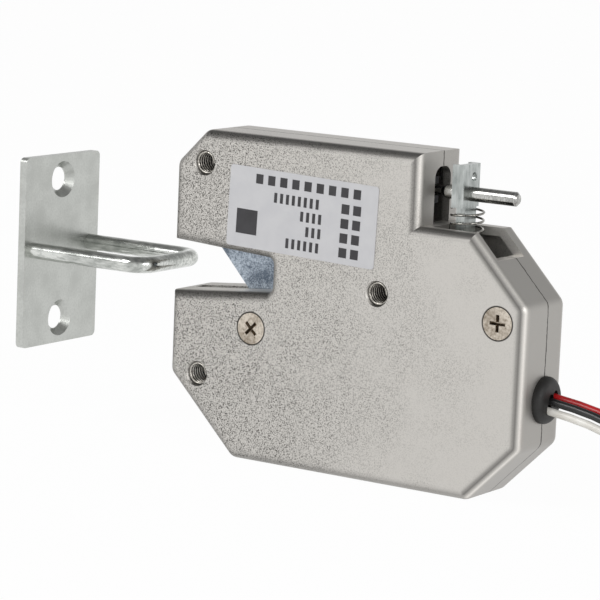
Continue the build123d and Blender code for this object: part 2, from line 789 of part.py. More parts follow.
# Three leads: a tube from the header to the coil, a ring for the coiled length, a straight end at the plug
for colour, (lead_y, lead_z, lead_row) in leads.items():
    ring_r = coil_core_r + lead_row * lead_pitch
    route = lead_route(lead_y, lead_z, ring_r)
    radii = [bend_radius(*route[n - 1 : n + 2]) for n in range(1, len(route) - 1)]
    with BuildPart() as lead_tube:
        with BuildLine() as lead_line:
            FilletPolyline(*route, radius=radii)
        with BuildSketch(Plane(origin=route[0], z_dir=lead_line.wire() % 0)):
            Circle(wire_r)
        sweep()
    print(colour, "radii", [round(r, 1) for r in radii], "length", round(lead_line.wire().length, 2))
    print("  volume ratio", round(lead_tube.part.volume / (math.pi * wire_r**2 * lead_line.wire().length), 4))
    lead_tube.part.label = f"wire_{colour}"
    export_step(lead_tube.part, f"parts/wire_{colour}.step")
    with BuildPart() as lead_ring:
        with BuildSketch(Plane.XY.offset(coil_low_z - wire_r)):
            with Locations((coil_x, coil_y)):
                Circle(ring_r + wire_r)
                Circle(ring_r - wire_r, mode=Mode.SUBTRACT)
        extrude(amount=coil_top_z - coil_low_z)
    lead_ring.part.label = f"wire_{colour}_coil"
    export_step(lead_ring.part, f"parts/wire_{colour}_coil.step")
    with BuildPart() as lead_end:
        with BuildSketch(Plane.YZ.offset(lead_out_x)):
            with Locations((coil_y - ring_r, coil_low_z)):
                Circle(wire_r)
        extrude(amount=plug_x - lead_out_x)
    lead_end.part.label = f"wire_{colour}_end"
    export_step(lead_end.part, f"parts/wire_{colour}_end.step")

# Tie round the coil, and the plug housing with its contacts
coil_mid_r = coil_core_r + lead_pitch
tie_reach = lead_pitch + wire_r
tie_top_z = coil_top_z + wire_r
with BuildPart() as coil_tie:
    with BuildSketch(Plane.YZ.offset(coil_x - tie_width / 2)):
        with Locations((coil_y + coil_mid_r + 0.05, tie_top_z / 2)):
            Rectangle(2 * tie_reach + 2 * tie_sheet + 0.3, tie_top_z)
            Rectangle(2 * tie_reach + 0.3, tie_top_z - 2 * tie_sheet, mode=Mode.SUBTRACT)
    extrude(amount=tie_width)
coil_tie.part.label = "coil_tie"
export_step(coil_tie.part, "parts/coil_tie.step")

plug_y = coil_y - coil_mid_r
with BuildPart() as plug_housing:
    with Locations((plug_x, plug_y, 0)):
        Box(plug_length, 2 * lead_pitch + 3.4, plug_height, align=(Align.MIN, Align.CENTER, Align.MIN))
    with Locations((plug_x + plug_length, plug_y, coil_low_z)):
        with GridLocations(0, lead_pitch, 1, 3):
            Box(5.0, 0.9, 0.9, align=(Align.MAX, Align.CENTER, Align.CENTER), mode=Mode.SUBTRACT)
plug_housing.part.label = "plug_housing"
export_step(plug_housing.part, "parts/plug_housing.step")

with BuildPart() as plug_contacts:
    with Locations((plug_x + plug_length - 1.0, plug_y, coil_low_z)):
        with GridLocations(0, lead_pitch, 1, 3):
            Box(4.0, 0.7, 0.7, align=(Align.MAX, Align.CENTER, Align.CENTER))
plug_contacts.part.label = "plug_contacts"
export_step(plug_contacts.part, "parts/plug_contacts.step")

# Label film on the front face
with BuildPart() as label_film_part:
    with BuildSketch(front_face):
        with Locations((label_x, label_z)):
            RectangleRounded(label_length, label_height, 0.6, rotation=label_tilt)
    extrude(amount=label_film)
label_film_part.part.label = "label"
export_step(label_film_part.part, "parts/label.step")

# Strike: plate with two countersunk holes, and a round rod bent to a U
with BuildPart() as strike_plate:
    with BuildSketch(Plane.YZ.offset(strike_face_x)):
        with Locations((0, strike_z)):
            RectangleRounded(strike_width, strike_height, strike_corner)
    extrude(amount=-strike_sheet)
    with BuildSketch(Plane.YZ.offset(strike_face_x)):
        with Locations((0, strike_z - strike_hole_reach), (0, strike_z + strike_hole_reach)):
            Circle(strike_hole_r)
        with Locations((-leg_y, bar_z), (leg_y, bar_z)):
            Circle(rod_r)
    extrude(amount=-strike_sheet, mode=Mode.SUBTRACT)
    with BuildSketch(Plane.YZ.offset(strike_face_x)):
        with Locations((0, strike_z - strike_hole_reach), (0, strike_z + strike_hole_reach)):
            Circle(strike_sink_r)
    extrude(amount=-(strike_sink_r - strike_hole_r), taper=45, mode=Mode.SUBTRACT)
strike_plate.part.label = "strike_plate"
export_step(strike_plate.part, "parts/strike_plate.step")

with BuildPart() as strike_loop:
    with BuildLine(Plane.XY.offset(bar_z)) as rod_line:
        FilletPolyline(
            (strike_face_x - strike_sheet, -leg_y),
            (bar_x, -leg_y),
            (bar_x, leg_y),
            (strike_face_x - strike_sheet, leg_y),
            radius=rod_bend,
        )
    with BuildSketch(Plane.YZ.offset(strike_face_x - strike_sheet)):
        with Locations((-leg_y, bar_z)):
            Circle(rod_r)
    sweep()
strike_loop.part.label = "strike_loop"
export_step(strike_loop.part, "parts/strike_loop.step")
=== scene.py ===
import json
import math

import bpy
import numpy as np
from mathutils import Matrix, Vector


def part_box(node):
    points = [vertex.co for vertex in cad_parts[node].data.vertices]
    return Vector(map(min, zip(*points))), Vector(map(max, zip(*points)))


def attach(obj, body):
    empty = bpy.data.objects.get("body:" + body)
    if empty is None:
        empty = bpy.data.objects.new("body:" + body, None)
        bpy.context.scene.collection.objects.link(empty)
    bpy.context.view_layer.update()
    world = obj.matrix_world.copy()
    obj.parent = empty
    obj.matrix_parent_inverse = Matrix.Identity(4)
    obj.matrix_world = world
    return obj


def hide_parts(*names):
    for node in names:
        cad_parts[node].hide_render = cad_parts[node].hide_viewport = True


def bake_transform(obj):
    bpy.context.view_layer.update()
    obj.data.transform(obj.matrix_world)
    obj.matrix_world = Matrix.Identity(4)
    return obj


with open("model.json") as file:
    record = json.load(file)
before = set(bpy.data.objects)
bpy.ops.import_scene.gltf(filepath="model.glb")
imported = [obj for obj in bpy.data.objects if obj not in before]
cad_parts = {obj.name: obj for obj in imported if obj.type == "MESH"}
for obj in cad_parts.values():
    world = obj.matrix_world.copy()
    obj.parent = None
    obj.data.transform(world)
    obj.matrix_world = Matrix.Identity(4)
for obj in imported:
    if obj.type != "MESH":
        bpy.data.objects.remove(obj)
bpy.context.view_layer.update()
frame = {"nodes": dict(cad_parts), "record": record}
nodes = frame["nodes"]

# --- Die-cast body ---------------------------------------------------------------------------
# Two zinc die-cast half shells, sand-blasted on the face and smoother on the sides, where the
# die leaves its own skin. The seam is a fine dark line. The top face is painted lighter, the sides
# darker, the rounded edges carry painted highlight and reflection bands, and painted shade lies
# round the screw heads and in the tapped bores.
face_zinc = "#C9C6C1"
blast_shadow = "#34322E"
# Colour of the dark seam line, also used for the painted shade round the screw heads and in the bores
seam_and_seat_shade = "#26231F"
grit_per_metre = 5200.0
patches_per_metre = 110.0
waves_per_metre = 900.0
seam_wander = 0.00025
seam_fade_from, seam_fade_to = 0.00021, 0.00007
seat_fade = 0.00014
screw_places = [(-0.0187, 0.0241), (0.0313, 0.0314)]
# Painted shade: ring radius and strength round each screw head and in each tapped bore
screw_seat_r, screw_seat_shade = 0.00298, 0.9
bore_seat_r, bore_seat_shade = 0.00202, 0.82


def linear(hex_code):
    """sRGB hex to a linear RGBA tuple: x/12.92 below 0.04045, else ((x + 0.055)/1.055)^2.4."""
    srgb = np.array([int(hex_code[k : k + 2], 16) for k in (1, 3, 5)]) / 255
    value = np.where(srgb <= 0.04045, srgb / 12.92, ((srgb + 0.055) / 1.055) ** 2.4)
    return (*value.tolist(), 1.0)


def add(tree, kind, inputs=None, **settings):
    """Adds one node, sets its attributes, and fills its inputs with values or linked sockets."""
    node = tree.nodes.new(kind)
    for key, value in settings.items():
        setattr(node, key, value)
    for key, value in (inputs or {}).items():
        if isinstance(value, bpy.types.NodeSocket):
            tree.links.new(value, node.inputs[key])
        else:
            node.inputs[key].default_value = value
    return node


def new_material(name):
    """An empty node material with its Principled shader linked to the output."""
    material = bpy.data.materials.new(name)
    material.use_nodes = True
    tree = material.node_tree
    tree.nodes.clear()
    shader = add(tree, "ShaderNodeBsdfPrincipled")
    add(tree, "ShaderNodeOutputMaterial", {"Surface": shader.outputs[0]})
    return material, tree, shader


def dress(tree, shader, colour, gloss, bump):
    """Links a colour mix, a roughness and a bump to the shader."""
    tree.links.new(colour.outputs[2], shader.inputs["Base Color"])
    tree.links.new(gloss.outputs[0], shader.inputs["Roughness"])
    tree.links.new(bump.outputs[0], shader.inputs["Normal"])


def cast_zinc(name, face_hex, shade_hex, seam_y, painted_shade_seats):
    """Sand-blasted zinc: grit in colour and bump, painted light on faces and edges, a dark seam and
    painted shade in the seats.
    """
    material, tree, shader = new_material(name)
    place = add(tree, "ShaderNodeTexCoord")
    here = place.outputs["Object"]
    spot = add(tree, "ShaderNodeSeparateXYZ", {"Vector": here})
    normal = add(tree, "ShaderNodeSeparateXYZ", {"Vector": place.outputs["Normal"]})
    # Grit is about 0.2 mm and shows most where the blast hit hardest, on the face by the mouth
    grit = add(tree, "ShaderNodeTexNoise", {
        "Vector": here, "Scale": grit_per_metre, "Detail": 2.0, "Roughness": 0.6,
    })
    cloud = add(tree, "ShaderNodeTexNoise", {
        "Vector": here, "Scale": patches_per_metre, "Detail": 4.0,
    })
    drift = add(tree, "ShaderNodeMapRange", {
        "Value": cloud.outputs["Fac"],
        "From Min": 0.3, "From Max": 0.7, "To Min": -0.012, "To Max": 0.012,
    })
    across = add(tree, "ShaderNodeMath", {
        0: spot.outputs["X"], 1: drift.outputs[0],
    }, operation="ADD")
    by_mouth = add(tree, "ShaderNodeMapRange", {
        "Value": across.outputs[0],
        "From Min": 0.026, "From Max": -0.02, "To Min": 0.1, "To Max": 1.0,
    })
    on_face = add(tree, "ShaderNodeMapRange", {
        "Value": normal.outputs["Y"],
        "From Min": -0.15, "From Max": -0.7, "To Min": 0.3, "To Max": 1.0,
    })
    harsh = add(tree, "ShaderNodeMath", {
        0: by_mouth.outputs[0], 1: on_face.outputs[0],
    }, operation="MULTIPLY")
    speck = add(tree, "ShaderNodeMapRange", {
        "Value": grit.outputs["Fac"], "From Min": 0.52, "From Max": 0.36,
    })
    dark = add(tree, "ShaderNodeMath", {
        0: speck.outputs[0], 1: harsh.outputs[0],
    }, operation="MULTIPLY")
    base = add(tree, "ShaderNodeMix", {
        "Factor": dark.outputs[0], "A": linear(face_hex), "B": linear(shade_hex),
    }, data_type="RGBA")

    # Painted light and shade by facing: the top face is painted lighter, the sides darker, and the
    # rounded edges carry painted highlight and dark reflection bands. A rounded edge runs from 1 at
    # the face to 0 at the side, and the part of its normal in the face's plane tells a top edge or one
    # on the cable's side from the rest
    facing = add(tree, "ShaderNodeMath", {0: normal.outputs["Y"]}, operation="ABSOLUTE")
    in_plane = add(tree, "ShaderNodeVectorMath", {
        0: place.outputs["Normal"], 1: (1.0, 0.0, 1.0),
    }, operation="MULTIPLY")
    in_plane = add(tree, "ShaderNodeVectorMath", {0: in_plane.outputs[0]}, operation="NORMALIZE")
    way = add(tree, "ShaderNodeSeparateXYZ", {"Vector": in_plane.outputs[0]})
    top_edge = add(tree, "ShaderNodeMapRange", {
        "Value": way.outputs["Z"], "From Min": 0.8, "From Max": 0.95,
    })
    outlet_edge = add(tree, "ShaderNodeMapRange", {
        "Value": way.outputs["X"], "From Min": 0.2, "From Max": 0.6,
    })

    def painted_edge_light(stops):
        """Painted light and shade of an edge, halved to stay under 1, by how much it faces forward."""
        ramp = add(tree, "ShaderNodeValToRGB", {"Fac": facing.outputs[0]})
        for place_on_ramp, _ in stops[1:-1]:
            ramp.color_ramp.elements.new(place_on_ramp)
        for element, (place_on_ramp, painted_light) in zip(ramp.color_ramp.elements, stops):
            element.position = place_on_ramp
            element.color = (painted_light / 2, painted_light / 2, painted_light / 2, 1)
        return ramp.outputs["Color"]

    # Painted shade on the sides, a painted highlight and dark reflection band on the cable-side edge,
    # and the top face painted lighter with a painted dark band on its edge
    plain = painted_edge_light([(0.0, 0.86), (0.45, 0.7), (0.85, 0.66), (0.97, 0.92), (1.0, 1.0)])
    outlet = painted_edge_light([
        (0.0, 0.72), (0.3, 0.85), (0.55, 1.42), (0.7, 0.95), (0.86, 0.36), (0.95, 0.6), (1.0, 1.0),
    ])
    top = painted_edge_light([(0.0, 1.18), (0.2, 0.9), (0.4, 0.26), (0.86, 0.24), (0.96, 0.6), (1.0, 1.0)])
    painted_light = add(tree, "ShaderNodeMix", {
        "Factor": outlet_edge.outputs[0], "A": plain, "B": outlet,
    }, data_type="RGBA")
    painted_light = add(tree, "ShaderNodeMix", {
        "Factor": top_edge.outputs[0], "A": painted_light.outputs[2], "B": top,
    }, data_type="RGBA")
    # The base colour is scaled by this painted light and shade
    doubled = add(tree, "ShaderNodeVectorMath", {
        0: painted_light.outputs[2], "Scale": 2.0,
    }, operation="SCALE")
    painted_light_zinc = add(tree, "ShaderNodeVectorMath", {
        0: base.outputs[2], 1: doubled.outputs[0],
    }, operation="MULTIPLY")

    # The seam wanders by a tenth of a millimetre and is about 0.3 mm wide
    wander = add(tree, "ShaderNodeTexNoise", {
        "Vector": here, "Scale": waves_per_metre, "Detail": 3.0,
    })
    wander = add(tree, "ShaderNodeMapRange", {
        "Value": wander.outputs["Fac"], "To Min": -seam_wander, "To Max": seam_wander,
    })
    seam = add(tree, "ShaderNodeMath", {
        0: spot.outputs["Y"], 1: wander.outputs[0],
    }, operation="ADD")
    seam = add(tree, "ShaderNodeMath", {0: seam.outputs[0], 1: seam_y}, operation="SUBTRACT")
    seam = add(tree, "ShaderNodeMath", {0: seam.outputs[0]}, operation="ABSOLUTE")
    seam_and_painted_shade = add(tree, "ShaderNodeMapRange", {
        "Value": seam.outputs[0],
        "From Min": seam_fade_from, "From Max": seam_fade_to, "To Max": 0.95,
    }).outputs[0]

    # Painted shade: a dark ring round each screw head and darker tapped bores, in the front shell only
    in_front = add(tree, "ShaderNodeMapRange", {
        "Value": spot.outputs["Y"], "From Min": seam_y - 0.0001, "From Max": seam_y - 0.0004,
    })
    for seat_x, seat_z, seat_r, seat_shade in painted_shade_seats:
        reach = add(tree, "ShaderNodeVectorMath", {
            0: here, 1: (seat_x, 0.0, seat_z),
        }, operation="SUBTRACT")
        reach = add(tree, "ShaderNodeVectorMath", {
            0: reach.outputs[0], 1: (1.0, 0.0, 1.0),
        }, operation="MULTIPLY")
        reach = add(tree, "ShaderNodeVectorMath", {0: reach.outputs[0]}, operation="LENGTH")
        ring = add(tree, "ShaderNodeMapRange", {
            "Value": reach.outputs["Value"],
            "From Min": seat_r + seat_fade, "From Max": seat_r, "To Max": seat_shade,
        })
        ring = add(tree, "ShaderNodeMath", {
            0: ring.outputs[0], 1: in_front.outputs[0],
        }, operation="MULTIPLY")
        seam_and_painted_shade = add(tree, "ShaderNodeMath", {
            0: seam_and_painted_shade, 1: ring.outputs[0],
        }, operation="MAXIMUM").outputs[0]

    # Mixes the dark seam line and the painted shade at the seats into the colour
    colour = add(tree, "ShaderNodeMix", {
        "Factor": seam_and_painted_shade, "A": painted_light_zinc.outputs[0], "B": linear(seam_and_seat_shade),
    }, data_type="RGBA")
    gloss = add(tree, "ShaderNodeMapRange", {
        "Value": grit.outputs["Fac"], "To Min": 0.36, "To Max": 0.56,
    })
    lift = add(tree, "ShaderNodeMath", {
        0: grit.outputs["Fac"], 1: harsh.outputs[0],
    }, operation="MULTIPLY")
    bump = add(tree, "ShaderNodeBump", {
        "Height": lift.outputs[0], "Strength": 0.8, "Distance": 0.0001,
    })
    dress(tree, shader, colour, gloss, bump)
    shader.inputs["Metallic"].default_value = 0.8
    return material


def finish(node_names, material):
    """Gives CAD nodes this material in every slot."""
    for node_name in node_names:
        for held in nodes[node_name].material_slots:
            held.material = material


seam_plane_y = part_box("rear_shell")[0][1]
mounts = frame["record"]["mounts"]
bore_spots = [mount["pos_m"] for mount in mounts if mount["kind"] == "threaded_hole"]
# Places of the painted shade: the screw seats and the tapped bores
shaded_seats = [(*screw_place, screw_seat_r, screw_seat_shade) for screw_place in screw_places]
shaded_seats += [(spot[0], spot[2], bore_seat_r, bore_seat_shade) for spot in bore_spots]
body_zinc = cast_zinc("sand_blasted_zinc", face_zinc, blast_shadow, seam_plane_y, shaded_seats)
finish(["front_shell", "rear_shell"], body_zinc)

# --- Fixing threads --------------------------------------------------------------------------
# Three tapped M4 holes with 0.7 mm pitch: the ridge left by the tap winds down each bore and
# catches the light against the dark hole, whose wall has painted shade. Cut in the same zinc,
# brighter where the tool passed.
thread_pitch = 0.0007
thread_root = 0.00198
thread_crest = 0.00165
thread_turns = 10
thread_steps_a_turn = 36
thread_start_depth = 0.0004
front_face_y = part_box("front_shell")[0][1]


def swept_ring(path, side, up, outline):
    """Profile carried along a path: point (i, j) = path_i + side_i * outline_j0 + up_i * outline_j1."""
    across, along = outline[None, :, :1], outline[None, :, 1:]
    return path[:, None] + side[:, None] * across + up[:, None] * along


def grid_mesh(name, grid):
    """Skin of a grid of points (n along the path, m round the profile): quads, and two end caps."""
    count, ring = grid.shape[:2]
    row = np.arange(count - 1)[:, None] * ring
    col = np.arange(ring)[None, :]
    beside = (col + 1) % ring
    quads = np.stack([row + col, row + beside, row + ring + beside, row + ring + col], -1)
    faces = quads.reshape(-1, 4).tolist()
    faces += [list(range(ring))[::-1], list(range((count - 1) * ring, count * ring))]
    mesh = bpy.data.meshes.new(name)
    mesh.from_pydata(grid.reshape(-1, 3).tolist(), [], faces)
    mesh.update()
    piece = bpy.data.objects.new(name, mesh)
    bpy.context.scene.collection.objects.link(piece)
    return piece


def face_out(piece):
    """Recalculates the normals so that a closed mesh faces outwards, and shades it smooth."""
    bpy.context.view_layer.objects.active = piece
    piece.select_set(True)
    bpy.ops.object.mode_set(mode="EDIT")
    bpy.ops.mesh.select_all(action="SELECT")
    bpy.ops.mesh.normals_make_consistent(inside=False)
    bpy.ops.object.mode_set(mode="OBJECT")
    piece.select_set(False)
    piece.data.shade_smooth()


def worked_metal(name, hex_code, shade_hex, rough, grain_mm, bump_mm, streak=(1, 1, 1)):
    """Metal with a grain of this size, stretched by streak, in colour, roughness and bump."""
    material, tree, shader = new_material(name)
    place = add(tree, "ShaderNodeTexCoord")
    scaled = add(tree, "ShaderNodeMapping", {
        "Vector": place.outputs["Object"],
        "Scale": tuple(1000 / grain_mm / stretch for stretch in streak),
    })
    grain = add(tree, "ShaderNodeTexNoise", {
        "Vector": scaled.outputs[0], "Scale": 1.0, "Detail": 3.0,
    })
    cloud = add(tree, "ShaderNodeTexNoise", {
        "Vector": place.outputs["Object"], "Scale": 260.0, "Detail": 2.0,
    })
    both = add(tree, "ShaderNodeMath", {
        0: grain.outputs["Fac"], 1: cloud.outputs["Fac"],
    }, operation="MULTIPLY")
    shade = add(tree, "ShaderNodeMapRange", {
        "Value": both.outputs[0], "From Min": 0.15, "From Max": 0.36,
    })
    colour = add(tree, "ShaderNodeMix", {
        "Factor": shade.outputs[0], "A": linear(shade_hex), "B": linear(hex_code),
    }, data_type="RGBA")
    gloss = add(tree, "ShaderNodeMapRange", {
        "Value": grain.outputs["Fac"], "To Min": rough - 0.07, "To Max": rough + 0.07,
    })
    bump = add(tree, "ShaderNodeBump", {
        "Height": grain.outputs["Fac"], "Strength": 0.6, "Distance": bump_mm / 1000,
    })
    dress(tree, shader, colour, gloss, bump)
    shader.inputs["Metallic"].default_value = 1.0
    return material


tapped_zinc = worked_metal("tapped_zinc", "#D8D4CC", "#7E7A74", 0.32, 0.3, 0.01)
# Ridge profile: distance from the bore's axis, and place along it as a share of the pitch
ridge_outline = np.array([
    [thread_root, -0.42], [thread_crest, -0.06], [thread_crest, 0.06], [thread_root, 0.42],
])
ridge_outline[:, 1] *= thread_pitch
thread_turn = np.linspace(0, 2 * math.pi * thread_turns, thread_steps_a_turn * thread_turns + 1)
thread_out = np.stack([np.cos(thread_turn), 0 * thread_turn, np.sin(thread_turn)], 1)
thread_along = np.tile([[0.0, 1.0, 0.0]], (len(thread_turn), 1))
thread_y = front_face_y + thread_start_depth + thread_pitch * thread_turn / (2 * math.pi)
for number, spot in enumerate(bore_spots):
    thread_path = np.stack([spot[0] + 0 * thread_y, thread_y, spot[2] + 0 * thread_y], 1)
    ridge_skin = swept_ring(thread_path, thread_out, thread_along, ridge_outline)
    ridge = grid_mesh(f"thread_ridge_{number}", ridge_skin)
    face_out(ridge)
    ridge.data.materials.append(tapped_zinc)
    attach(ridge, "lock")

# --- Shell screws ----------------------------------------------------------------------------
# Countersunk cross-recess screws, nickel plated with a warm cast, heads flush with the face.
finish(["shell_screws"], worked_metal("warm_nickel", "#D2C9BC", "#94897B", 0.3, 0.5, 0.01))

# --- Latch, its bush and spring --------------------------------------------------------------
# Stamped steel latch with bright bluish zinc plating, turning on a ground steel bush, and a
# flat strip spring behind it.
blue_zinc = worked_metal("blue_zinc_plate", "#B6C0CB", "#59636F", 0.36, 0.25, 0.012)
finish(["latch_hook"], blue_zinc)
ground_steel = worked_metal("ground_steel", "#C9C9C6", "#8B8B88", 0.22, 0.25, 0.006, (4, 1, 4))
finish(["latch_bush", "pawl_pin", "pole_piece", "plunger", "link_pin"], ground_steel)
spring_strip = worked_metal("spring_strip", "#B9BAB8", "#6E6F6E", 0.28, 0.3, 0.008)
finish(["latch_spring", "switch_lever"], spring_strip)

# --- Pawl ------------------------------------------------------------------------------------
# Stamped lever, chemically blackened, so it stays dark inside the slot of the side wall.
finish(["pawl_lever"], worked_metal("blackened_steel", "#2B2B2D", "#141415", 0.45, 0.5, 0.01))

# --- Release tab and pin ---------------------------------------------------------------------
# Sheet steel folded to a channel and zinc plated, and a turned pin riveted through it. The
# pin's grain runs along its length.
folded_plate = worked_metal("folded_zinc_plate", "#BDC1BF", "#969B99", 0.3, 0.7, 0.008, (1, 1, 3))
finish(["release_tab"], folded_plate)
pin_steel = worked_metal("turned_pin_steel", "#D2D2CE", "#8C8C8A", 0.2, 0.16, 0.008, (1, 4, 4))
finish(["release_pin"], pin_steel)

# --- Release spring --------------------------------------------------------------------------
# Compression spring of 0.4 mm wire on the stem, between the solenoid's yoke and the tab.
wire_radius = 0.0002
spring_turns = 6.5
spring_steps = 390
spring_start_angle = 0.6
even_share = 0.75
spring_low, spring_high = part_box("release_spring")
spring_x = (spring_low[0] + spring_high[0]) / 2
spring_y = (spring_low[1] + spring_high[1]) / 2
coil_radius = (spring_high[0] - spring_low[0]) / 2 - wire_radius
spring_step = np.linspace(0, 1, spring_steps + 1)
spring_turn = 2 * math.pi * spring_turns * spring_step + spring_start_angle
# Height is a straight ramp mixed with 3s^2 - 2s^3, so that the end turns lie closer together
eased = 3 * spring_step**2 - 2 * spring_step**3
rise = even_share * spring_step + (1 - even_share) * eased
spring_z = spring_low[2] + wire_radius + (spring_high[2] - spring_low[2] - 2 * wire_radius) * rise
spring_out = np.stack([np.cos(spring_turn), np.sin(spring_turn), 0 * spring_turn], 1)
spring_axis = np.stack([spring_x + 0 * spring_z, spring_y + 0 * spring_z, spring_z], 1)
spring_up = np.tile([[0.0, 0.0, 1.0]], (len(spring_step), 1))
round_angle = np.linspace(0, 2 * math.pi, 10, endpoint=False)
round_wire = wire_radius * np.stack([np.cos(round_angle), np.sin(round_angle)], 1)
spring_skin = swept_ring(spring_out * coil_radius + spring_axis, spring_out, spring_up, round_wire)
spring = grid_mesh("release_spring_wire", spring_skin)
face_out(spring)
spring_wire = worked_metal("drawn_spring_wire", "#C4C2BC", "#56544F", 0.22, 0.2, 0.004)
spring.data.materials.append(spring_wire)
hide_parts("release_spring")
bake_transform(spring)

# --- Solenoid --------------------------------------------------------------------------------
# Zinc-plated yoke, nylon bobbin and enamelled copper winding, mostly hidden inside the body.
# The winding's grain is stretched round the coil, so that it reads as turns of wire.
yoke_plate = worked_metal("yoke_zinc_plate", "#8F9290", "#4C4F4F", 0.42, 0.8, 0.012)
finish(["solenoid_yoke"], yoke_plate)
copper = worked_metal("enamelled_copper", "#B0663A", "#6B3518", 0.35, 0.22, 0.03, (40, 40, 1))
finish(["coil_winding"], copper)


def moulded(name, hex_code, shade_hex, rough, grain_mm, bump_mm, ior=1.49):
    """Moulded or coated non-metal: cloudy tint, fine surface grain in bump and roughness."""
    material, tree, shader = new_material(name)
    place = add(tree, "ShaderNodeTexCoord")
    grain = add(tree, "ShaderNodeTexNoise", {
        "Vector": place.outputs["Object"], "Scale": 1000 / grain_mm, "Detail": 3.0,
    })
    cloud = add(tree, "ShaderNodeTexNoise", {
        "Vector": place.outputs["Object"], "Scale": 300.0, "Detail": 2.0,
    })
    tint = add(tree, "ShaderNodeMapRange", {
        "Value": cloud.outputs["Fac"], "From Min": 0.35, "From Max": 0.65,
    })
    colour = add(tree, "ShaderNodeMix", {
        "Factor": tint.outputs[0], "A": linear(hex_code), "B": linear(shade_hex),
    }, data_type="RGBA")
    gloss = add(tree, "ShaderNodeMapRange", {
        "Value": grain.outputs["Fac"], "To Min": rough - 0.08, "To Max": rough + 0.08,
    })
    bump = add(tree, "ShaderNodeBump", {
        "Height": grain.outputs["Fac"], "Strength": 0.5, "Distance": bump_mm / 1000,
    })
    dress(tree, shader, colour, gloss, bump)
    shader.inputs["IOR"].default_value = ior
    return material


finish(["coil_bobbin"], moulded("natural_nylon", "#D9D5C8", "#C4BFAF", 0.45, 0.4, 0.01))

# --- Switch, board and header ----------------------------------------------------------------
# Small moulded switch under the latch's tail, a glass-epoxy board on two posts, and the header
# that the leads are soldered to. All sealed inside the body.
thermoset = moulded("black_thermoset", "#1B1B1D", "#121214", 0.5, 0.3, 0.008)
finish(["switch_case", "chip", "diode"], thermoset)
finish(["switch_button"], moulded("red_acetal", "#9C1F1A", "#7C1613", 0.4, 0.3, 0.006))
solder_mask = moulded("green_solder_mask", "#1E5A34", "#174528", 0.35, 0.5, 0.01, 1.55)
finish(["circuit_board"], solder_mask)
tinned_brass = worked_metal("tinned_brass", "#C9B27A", "#85703F", 0.3, 0.2, 0.006)
finish(["switch_terminals", "plug_contacts"], tinned_brass)

# --- Grommet ---------------------------------------------------------------------------------
# Soft black rubber, pressed into the wall at the seam; its dome is worn to a dull sheen.
finish(["grommet"], moulded("black_rubber", "#121110", "#1B1A18", 0.55, 0.35, 0.02, 1.52))

# --- Leads -----------------------------------------------------------------------------------
# Three stranded hook-up leads in PVC, 1.4 mm across: out of the grommet side by side, down to
# the bench and twice round a small tied coil, then flat into a three-way plug.
lead_thickness = 0.0014
lowest_lead_z = 0.0169
ring_centre = (0.069, 0.004)
ring_turns = 2
ring_steps_a_turn = 32
ring_pitch = 0.0016
ring_low_z = 0.0012
ring_top_z = ring_low_z + ring_turns * ring_pitch
plug_face_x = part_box("plug_housing")[0][0]
header_face_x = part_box("lead_header")[1][0]
# Each lead's place in the grommet (across, up), the radius of its turns, and its two tints
lead_rows = {
    "red": (0.0026, 0.01895, 0.0069, "#C4161A", "#A31014"),
    "black": (0.0011, 0.01845, 0.0084, "#17181A", "#0E0F10"),
    "white": (0.00055, 0.0169, 0.0099, "#ECEAE4", "#DDDAD2"),
}
for colour_name, (lead_y, lead_z, ring_radius, tint_hex, tint_shade) in lead_rows.items():
    end_y = ring_centre[1] - ring_radius
    lift = lead_z - lowest_lead_z
    route = [
        (header_face_x, lead_y, lead_z),
        (0.0495 + 0.4 * lift, lead_y, lead_z - 0.0014),
        (0.0556 + 0.5 * lift, 0.4 * lead_y + 0.6 * end_y, 0.0106 + 0.7 * lift),
        (0.0602, end_y, ring_top_z),
    ]
    # Coil: the angle runs twice round from the front of the ring, and the height falls steadily
    for step in range(ring_steps_a_turn * ring_turns + 1):
        angle = 2 * math.pi * step / ring_steps_a_turn - math.pi / 2
        route.append((
            ring_centre[0] + ring_radius * math.cos(angle),
            ring_centre[1] + ring_radius * math.sin(angle),
            ring_top_z - ring_pitch * step / ring_steps_a_turn,
        ))
    route.append((plug_face_x, end_y, ring_low_z))
    curve = bpy.data.curves.new(f"lead_{colour_name}", "CURVE")
    curve.dimensions = "3D"
    curve.bevel_depth = lead_thickness / 2
    curve.bevel_resolution = 4
    curve.use_fill_caps = True
    curve.resolution_u = 6
    spline = curve.splines.new("NURBS")
    spline.points.add(len(route) - 1)
    spline.points.foreach_set("co", np.array([(*point, 1.0) for point in route]).ravel())
    spline.order_u = 3
    spline.use_endpoint_u = True
    lead = bpy.data.objects.new(f"lead_{colour_name}", curve)
    bpy.context.scene.collection.objects.link(lead)
    lead_pvc = moulded(f"{colour_name}_pvc", tint_hex, tint_shade, 0.34, 0.6, 0.01, 1.54)
    curve.materials.append(lead_pvc)
    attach(lead, "lock")
    wire_node = f"wire_{colour_name}"
    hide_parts(wire_node, f"{wire_node}_coil", f"{wire_node}_end")
plug_nylon = moulded("natural_plug_nylon", "#E6E1D3", "#D6D0BF", 0.42, 0.4, 0.01)
finish(["plug_housing", "lead_header"], plug_nylon)
finish(["coil_tie"], moulded("black_nylon_tie", "#1A1A1B", "#101011", 0.4, 0.4, 0.012))

# --- Label -----------------------------------------------------------------------------------
# Pale grey polyester film on the face, printed only with a plain square and rows of plain bars.
finish(["label"], moulded("grey_polyester_film", "#C6C6C8", "#C1C1C4", 0.36, 0.5, 0.004, 1.6))
label_tilt = math.radians(1.9)
ink_thick = 0.00002
label_low, label_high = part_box("label")
label_x = (label_low[0] + label_high[0]) / 2
label_z = (label_low[2] + label_high[2]) / 2
film_y = label_low[1]
